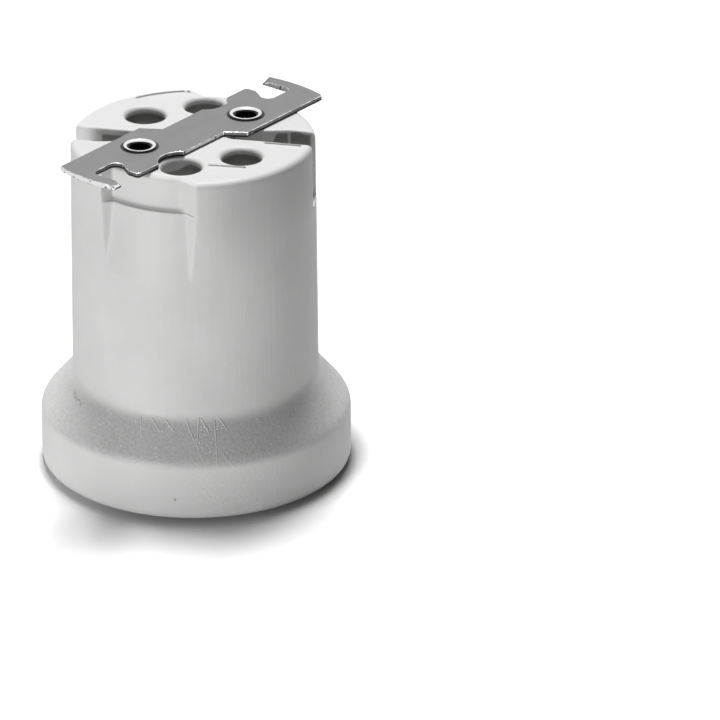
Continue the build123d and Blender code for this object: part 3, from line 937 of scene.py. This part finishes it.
class Glaze(Finish):
    """The porcelain's glaze, whose methods each lay one kind of mark over it."""

    def __init__(self):
        super().__init__("porcelain_glaze")
        self.x, self.y, self.z = [self.axis(name) for name in "XYZ"]
        self.radius = self.distance(0, 0)
        self.angle = self.bearing(self.x, self.y)
        self.around = self.bearing(0.0 - self.x, 0.0 - self.y)
        self.outside = self.rise(self.radius, *OUTSIDE_R)
        self.land = self.rise(self.z, *LAND_Z)
        self.cloud = self.patches(scale=45, detail=4)
        self.colour = self.mix(self.cloud, grey(0.74, 0.004), grey(0.80, 0.004))
        self.speckle = self.patches(scale=1500, detail=3, low=0.35)
        self.raised = 0.0

    def stain_or_shade(self, shape, level, share=1.0, height=0.0):
        """Greys the colour over a shape, and raises the shape by a share of MARK_H."""
        self.colour = self.mix(shape * share, self.colour, grey(level))
        if height:
            self.raised = self.raised + shape * height

    def near(self, angle, spread):
        """1 near an angle from the -X side, 0 away from it."""
        return self.swing(self.far_from(self.around, radians(angle)), *spread, 1.0, 0.0)

    def line(self, ends, edge):
        """Straight line on the outside, unrolled, between two places (angle, height)."""
        start, end = [(radians(turn - 180) * UNROLL_R, height) for turn, height in ends]
        gap = self.from_line(self.around * (UNROLL_R * MM), self.z, start, end)
        return self.fall(gap, *edge)

    def shoulder(self):
        """Shoulder with painted shade, deepest on its front side, speckled and scratched, with
        beads of glaze on that side.
        """
        part = self.rise(self.z, *SHOULDER_FOOT_Z) * self.fall(self.z, *SHOULDER_TOP_Z)
        part = part * self.outside
        painted_light_side = self.near(FRONT_ANGLE, FRONT_SPREAD)
        # painted shade on the shoulder band, deepest on its front side and flecked by the speckle
        self.stain_or_shade(part * (0.2 + 0.3 * painted_light_side + 0.25 * self.speckle), level=0.45)
        self.speckle = self.speckle * part
        beads = self.ramp(self.cells(750), 0.12, 0.28, 1.0, 0.0) * part * painted_light_side
        beads = beads * self.patches(scale=200, detail=2, low=0.45, high=0.6)
        scratches = sum(self.line(ends, SCRATCH_EDGE) for ends in SCRATCHES) * self.outside
        scratches = scratches * self.rise(self.z, *SCRATCH_FADE_Z, start=0.35)
        scratches = scratches * self.patches(scale=700, detail=2, high=0.6, start=0.4)
        self.stain_or_shade(beads * 0.9 + scratches * 0.75, level=0.9)
        self.raised = self.raised + beads * 0.25 + scratches * 0.4

    def pits(self):
        """Dark pits along one line and at one spot."""
        row = self.line(PITTED_LINE, PITTED_EDGE)
        row = row * self.patches(scale=1800, detail=2, low=0.48, high=0.56)
        self.stain_or_shade(
            (row + self.line(PIT, PIT_EDGE)) * self.outside, level=0.3, share=0.6, height=-0.5
        )

    def crazing(self):
        """Fine pale cracks low on one side."""
        part = self.near(CRAZED_ANGLE, CRAZED_SPREAD) * self.fall(self.z, *CRAZED_TOP_Z)
        part = part * self.outside * self.patches(scale=180, detail=2, low=0.38, high=0.6)
        cracks = self.ramp(self.cells(270, "DISTANCE_TO_EDGE"), 0.0, 0.07, 1.0, 0.0) * part
        self.stain_or_shade(cracks, level=0.92, share=0.3, height=0.12)

    def lands(self):
        """Paler rear lands."""
        self.stain_or_shade(self.land * self.patches(scale=350, detail=3, start=0.4, end=0.9), level=0.8)

    def hollows(self):
        """Painted shade in the holes and notches, darker the deeper, from a little below the body's
        top edge.
        """
        side = self.x * REACH_SLOPE - self.y
        one, other = [[reach * MM for reach in pair] for pair in (ONE_SIDE_REACH, OTHER_SIDE_REACH)]
        reach = self.rise(side, *ONE_SIDE, *one) + self.rise(0.0 - side, *OTHER_SIDE, *other)
        within = self.rise(BODY_TOP_R * MM - self.radius - reach, *REACH_EDGE)
        # spots that move where the painted shade begins, deeper for painted light or higher
        shade_shift = sum(
            self.rise(self.distance(*spot), *SHADE_SHIFT_EDGE, start=run * MM, end=0.0)
            for spot, run in SHADE_SHIFT_SPOTS
        )
        depth = BODY_H * MM - self.z
        below = self.rise(depth - shade_shift, *HOLLOW_SHADE_DEPTH) * self.rise(self.z, *HOLLOW_SHADE_FOOT_Z)
        # painted shade, mid grey near the top and dark grey further down
        hollow_shade = self.mix(self.rise(depth, *HOLLOW_SHADE_FADE), grey(0.24, 0.01), grey(0.6, 0.01))
        self.colour = self.mix(within * below, self.colour, hollow_shade)

    def shades(self):
        """Painted shade in the crease under the pockets' floors and on one side of the upper body,
        and a pale line along a notch's bend.
        """
        # painted shade along the crease under each pocket's floor
        crease = self.fall(self.far_from(self.z, CREASE_Z * MM), *CREASE_EDGE)
        crease = crease * self.fall(self.radius, *CREASE_OUTER_R)
        crease = crease * self.rise(self.radius, *CREASE_INNER_R)
        self.stain_or_shade(crease, level=0.25, share=0.65)
        # painted shade on the upper body's side away from the light
        side = self.rise(self.z, *SHADED_SIDE_Z) * self.swing(self.around, *SHADED_SIDE_START)
        side = side * self.swing(self.around, *SHADED_SIDE_END, start=1.0, end=0.3)
        self.stain_or_shade(side * self.outside * (1 - self.land), level=0.1, share=0.3)
        # pale line along the bend of a notch's side
        bend = Matrix.Rotation(radians(NOTCH_ANGLE + 180), 2) @ Vector(notch_bend())
        self.stain_or_shade(self.fall(self.distance(*bend), *BEND_LINE_EDGE), level=0.8, share=0.7)

    def land_marks(self):
        """Painted shade along the raised marks of the rear lands, which the bump also raises."""
        start, end = LAND_ARC_START, LAND_ARC_END
        marks = self.fall(self.far_from(self.radius, LAND_ARC_R * MM), *LAND_MARK_EDGE)
        marks = marks * self.swing(self.angle, start - LAND_ARC_FADE, start + LAND_ARC_FADE)
        marks = marks * self.swing(self.angle, end - LAND_ARC_FADE, end + LAND_ARC_FADE, 1.0, 0.0)
        for ends in LAND_LINES:
            marks = marks + self.fall(self.from_line(self.x, self.y, *ends), *LAND_MARK_EDGE)
        self.stain_or_shade(marks * self.land, level=0.42, share=0.7, height=1.0)

    def skirt_floor(self):
        """Faint crossed lines from the press on the floor of the skirt."""
        part = self.rise(self.z, *SKIRT_FOOT_Z) * self.fall(self.z, *SKIRT_TOP_Z)
        part = part * self.fall(self.radius, *SKIRT_OUTER_R)
        hatch = sum(
            self.fall(self.math("PINGPONG", self.x + self.y * tilt, HATCH_STEP * MM), *HATCH_EDGE)
            for tilt in (1.0, -1.0)
        )
        hatch = hatch * part * self.patches(scale=160, detail=3, low=0.35, high=0.6)
        self.stain_or_shade(hatch, level=0.5, share=0.25, height=-0.3)

    def finished(self):
        """The material, uneven in streaks, in grains and at its marks."""
        flow = self.vector(self.angle * STREAKS_ROUND, 0.0, self.z * STREAKS_UP)
        normal = self.bump(self.noise(scale=1, detail=3, vector=flow), STREAK_H)
        normal = self.bump(self.noise(scale=1700, detail=2), GRAIN_H, normal)
        normal = self.bump(self.speckle, SPECKLE_H, normal)
        normal = self.bump(self.raised, MARK_H, normal)
        brightest, dullest = GLAZE_GLOSS
        roughness = self.cloud * (dullest - brightest) + brightest
        return self.surface(base_color=self.colour, roughness=roughness, normal=normal)


def porcelain_glaze():
    """The glaze with all its marks, later ones over earlier ones."""
    glaze = Glaze()
    glaze.shoulder()
    glaze.pits()
    glaze.crazing()
    glaze.lands()
    glaze.hollows()
    glaze.shades()
    glaze.land_marks()
    glaze.skirt_floor()
    return glaze.finished()


def bracket_steel():
    """Dull sheet, with painted highlights on the side faces at its ends and waist, and painted
    shade at its foot and round the rivets.
    """
    steel = Finish("bracket_steel")
    out = steel.distance(0, 0)
    across, along, upright = [steel.facing(name) for name in "XYZ"]
    # painted highlight on the side faces at the ends, the nose and the waist, white with dark
    # specks
    nose = steel.ramp(upright, *NOSE_TILT) * steel.ramp(upright, *NOSE_TILT_END, 1.0, 0.0)
    nose = nose * steel.fall(steel.axis("X"), *NOSE_X)
    ends = steel.ramp(steel.far_from(across, 0.0), *END_FACING) * steel.rise(out, *END_R) + nose
    waist = steel.ramp(steel.far_from(along, 0.0), *WAIST_FACING) * steel.fall(out, *WAIST_R)
    painted_light_side = ends + waist
    # painted shade along the sheet's foot and round the rivet heads
    painted_shade = steel.fall(steel.axis("Z"), *FOOT_SHADE_Z) * steel.ramp(upright, *FOOT_SHADE_TILT) * (1 - ends)
    for turn in HALF_TURNS:
        rivet = steel.distance(*polar(RIVET_RADIUS, RIVET_ANGLE + turn))
        painted_shade = painted_shade + steel.fall(rivet, *RIVET_SHADE_R)
    cloud = steel.patches(scale=220, detail=5)
    spots = steel.patches(scale=800, detail=3, low=0.57, high=0.62)
    colour = steel.mix(cloud, grey(0.176), grey(0.184))
    colour = steel.mix(painted_light_side, colour, steel.mix(spots, grey(0.9), grey(0.12)))
    brightest, dullest = SHEET_GLOSS
    return steel.surface(
        base_color=steel.mix(steel.clamped(painted_shade), colour, grey(0.02)),
        metallic=1 - painted_light_side,
        roughness=cloud * (dullest - brightest) + brightest,
        normal=steel.bump(steel.noise(scale=2600, detail=2), SHEET_GRAIN_H),
    )


def sheared_edge():
    """Ragged painted highlight along the sheet's broken edges, with painted shade at its foot away
    from the tips.
    """
    edge = Finish("sheared_edge")
    # painted highlight along the broken edges, broken up by noise
    ragged = edge.patches(scale=900, detail=3, low=0.42, high=0.56)
    painted_shade = edge.fall(edge.axis("Z"), *FOOT_SHADE_Z) * edge.fall(edge.distance(0, 0), *UNSHADED_TIP_R)
    colour = edge.mix(ragged, grey(0.35), grey(0.95))
    return edge.surface(
        base_color=edge.mix(painted_shade, colour, grey(0.02)),
        metallic=1.0,
        roughness=edge.ramp(ragged, 0.0, 1.0, 0.4, 0.25),
    )


def rivet_highlight_and_shade():
    """Rivets painted dark as shade, with a painted highlight ring on each head."""
    plating = Finish("rivet_highlight_and_shade")
    # painted highlight ring on each rivet head
    highlight_rings = 0.0
    for turn in HALF_TURNS:
        x, y = polar(RIVET_RADIUS, RIVET_ANGLE + turn)
        inner = plating.distance(x + RING_SHIFT_X, y + RING_SHIFT_Y)
        ring = plating.rise(inner, *RING_INNER_R)
        highlight_rings = highlight_rings + ring * plating.fall(plating.distance(x, y), *RING_OUTER_R)
    return plating.surface(
        base_color=plating.mix(highlight_rings, grey(0.02), grey(0.8)),
        metallic=1.0,
        roughness=plating.patches(scale=600, detail=3, start=0.14, end=0.26),
    )


def polished(metal, colour, gloss):
    """Ends a finish as bright metal."""
    return metal.surface(
        base_color=colour,
        metallic=1.0,
        roughness=metal.patches(scale=400, detail=4, start=gloss[0], end=gloss[1]),
        normal=metal.bump(metal.noise(scale=3000, detail=2), METAL_GRAIN_H),
    )


def shell_nickel():
    """The shell's plating, with painted shade along its lower edge broken by dashes of plain
    nickel, and the slits round its lock tongue painted dark as shade.
    """
    plate = Finish("shell_nickel")
    z = plate.axis("Z")
    out = plate.distance(0, 0)
    angle = plate.bearing(plate.axis("X"), plate.axis("Y"))
    # painted shade along the shell's lower edge
    edge = plate.rise(out, *SHELL_EDGE_R) * plate.fall(z, *SHELL_EDGE_Z)
    step = plate.math("PINGPONG", angle, radians(360 / DASHES / 2))
    dash = plate.swing(step, *DASH_GAP) * plate.rise(out, *DASH_R)
    slits = 0.0
    # the slits are painted dark as shade
    for ends in TONGUE_SLITS:
        first, last = [(radians(turn) * TONGUE_R, height) for turn, height in ends]
        gap = plate.from_line(angle * (TONGUE_R * MM), z, first, last)
        slits = slits + plate.fall(gap, *SLIT_EDGE)
    colour = plate.mix(edge * (1 - dash), grey(0.72, 0.02), grey(0.05))
    colour = plate.mix(plate.clamped(slits), colour, grey(0.02))
    return polished(plate, colour, NICKEL_GLOSS)


def dressed(node, material):
    """Gives a CAD node a better material."""
    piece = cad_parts[node]
    piece.data.materials.clear()
    piece.data.materials.append(material)


def outward(angle, rise):
    """Direction out from the axis, at an angle round it and a rise above the floor."""
    return Vector((*polar(cos(radians(rise)), angle), sin(radians(rise))))


def looking_in(angle, rise):
    """Rotation of a camera or lamp that looks back along that direction."""
    return radians(90 - rise), 0, radians(angle + 90)


def photo_camera():
    """Camera at the photograph's angle, framed as the photograph is."""
    out = outward(CAMERA_ANGLE, CAMERA_RISE)
    right = Vector((*polar(1, CAMERA_ANGLE + 90), 0))
    eye = Vector((0, 0, AIM_HEIGHT)) + out * CAMERA_DISTANCE
    eye += right * AIM_RIGHT + out.cross(right) * AIM_UP
    turn = looking_in(CAMERA_ANGLE, CAMERA_RISE)
    bpy.ops.object.camera_add(location=eye * MM, rotation=turn)
    camera = bpy.context.object
    camera.data.sensor_width = SENSOR
    camera.data.lens = FOCAL_PX / FRAME_PX * SENSOR
    camera.data.clip_end = CAMERA_REACH * MM
    bpy.context.scene.camera = camera


def softbox(name, turn, rise, distance, size, power):
    """Soft light aimed at the middle of the object, at a turn from the camera's angle."""
    angle = CAMERA_ANGLE + turn
    place = (Vector((0, 0, AIM_HEIGHT)) + outward(angle, rise) * distance) * MM
    bpy.ops.object.light_add(type="AREA", location=place, rotation=looking_in(angle, rise))
    lamp = bpy.context.object
    lamp.name = name
    lamp.data.shape = "RECTANGLE"
    lamp.data.size, lamp.data.size_y = [length * MM for length in size]
    lamp.data.energy = power


def floor_paper():
    """Pale paper with a painted shadow at the foot, dim to all but the camera, open under the mouth
    and clear from below.
    """
    paper = Finish("floor_paper")
    out = paper.distance(0, 0)
    side_x, side_y = polar(1, CAMERA_ANGLE + SHADE_TURN)
    side = paper.axis("X") * side_x + paper.axis("Y") * side_y
    # painted shadow round the foot, deepest on one side
    shade = paper.rise(side, *SHADE_RUN, start=SHADE_LEAST) * paper.fall(out, *SHADE_R)
    dim = paper.node("ShaderNodeBsdfDiffuse", None, {"Color": grey(0.8)})
    tone = paper.mix(shade, grey(1.25), grey(0.4))
    pale = paper.node("ShaderNodeBsdfDiffuse", None, {"Color": tone})
    seen = paper.node("ShaderNodeLightPath", output="Is Camera Ray")
    below = paper.node("ShaderNodeNewGeometry", output="Backfacing")
    gone = paper.math("MAXIMUM", below, paper.fall(out, *OPEN_MOUTH_R))
    clear = paper.node("ShaderNodeBsdfTransparent")
    return paper.ends_in(paper.blended(gone, paper.blended(seen, dim, pale), clear))


def white_surround():
    """Surround that is white to the camera and in reflections, and lights only faintly."""
    world = Finish("surround", "worlds", "ShaderNodeOutputWorld")
    direct = world.node("ShaderNodeLightPath", output="Is Camera Ray")
    mirrored = world.node("ShaderNodeLightPath", output="Is Glossy Ray")
    faint, white = [
        world.node("ShaderNodeBackground", None, {"Color": grey(1.0), "Strength": strength})
        for strength in (AMBIENT, 1.0)
    ]
    return world.ends_in(world.blended(world.math("MAXIMUM", direct, mirrored), faint, white))


def studio():
    """Pale floor, soft lights and a white surround."""
    bpy.ops.mesh.primitive_plane_add(size=FLOOR_SIZE * MM, location=(0, 0, 0))
    floor = bpy.context.object
    floor.name = "floor"
    floor.data.materials.append(floor_paper())
    softbox("overhead", turn=180, rise=75, distance=1500, size=(320, 320), power=20)
    softbox("left_front", turn=-37, rise=3, distance=900, size=(300, 140), power=3.5)
    softbox("from_below", turn=0, rise=-60, distance=900, size=(600, 600), power=6)
    bpy.context.scene.world = white_surround()
    bpy.context.scene.view_settings.view_transform = "Standard"


photo_camera()
studio()

porcelain = glazed_porcelain()
porcelain.data.materials.append(porcelain_glaze())
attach(porcelain, "holder")
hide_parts("porcelain_body")

bracket = pressed_bracket(bracket_steel(), sheared_edge())
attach(bracket, "holder")
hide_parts("fixing_bracket")

rivets = rolled_rivets()
rivets.data.materials.append(rivet_highlight_and_shade())
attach(rivets, "holder")
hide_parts("bracket_rivets")

nickel = polished(Finish("bright_nickel"), grey(0.72, 0.02), NICKEL_GLOSS)
brass = polished(Finish("plain_brass"), (0.66, 0.5, 0.24, 1.0), BRASS_GLOSS)
zinc = polished(Finish("zinc_screws"), grey(0.55), ZINC_GLOSS)
for node, material in {
    "rivet_washers": zinc,
    "screw_shell": shell_nickel(),
    "centre_strap": brass,
    "shell_strap": brass,
    "centre_terminal": brass,
    "shell_terminal": brass,
    "centre_terminal_screw": zinc,
    "shell_terminal_screw": zinc,
    "strap_screws": zinc,
    "strap_washers": zinc,
    "contact_plunger": nickel,
    "contact_clip": zinc,
}.items():
    dressed(node, material)

spring = coil()
spring.data.materials.append(zinc)
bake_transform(spring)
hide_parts("contact_spring")
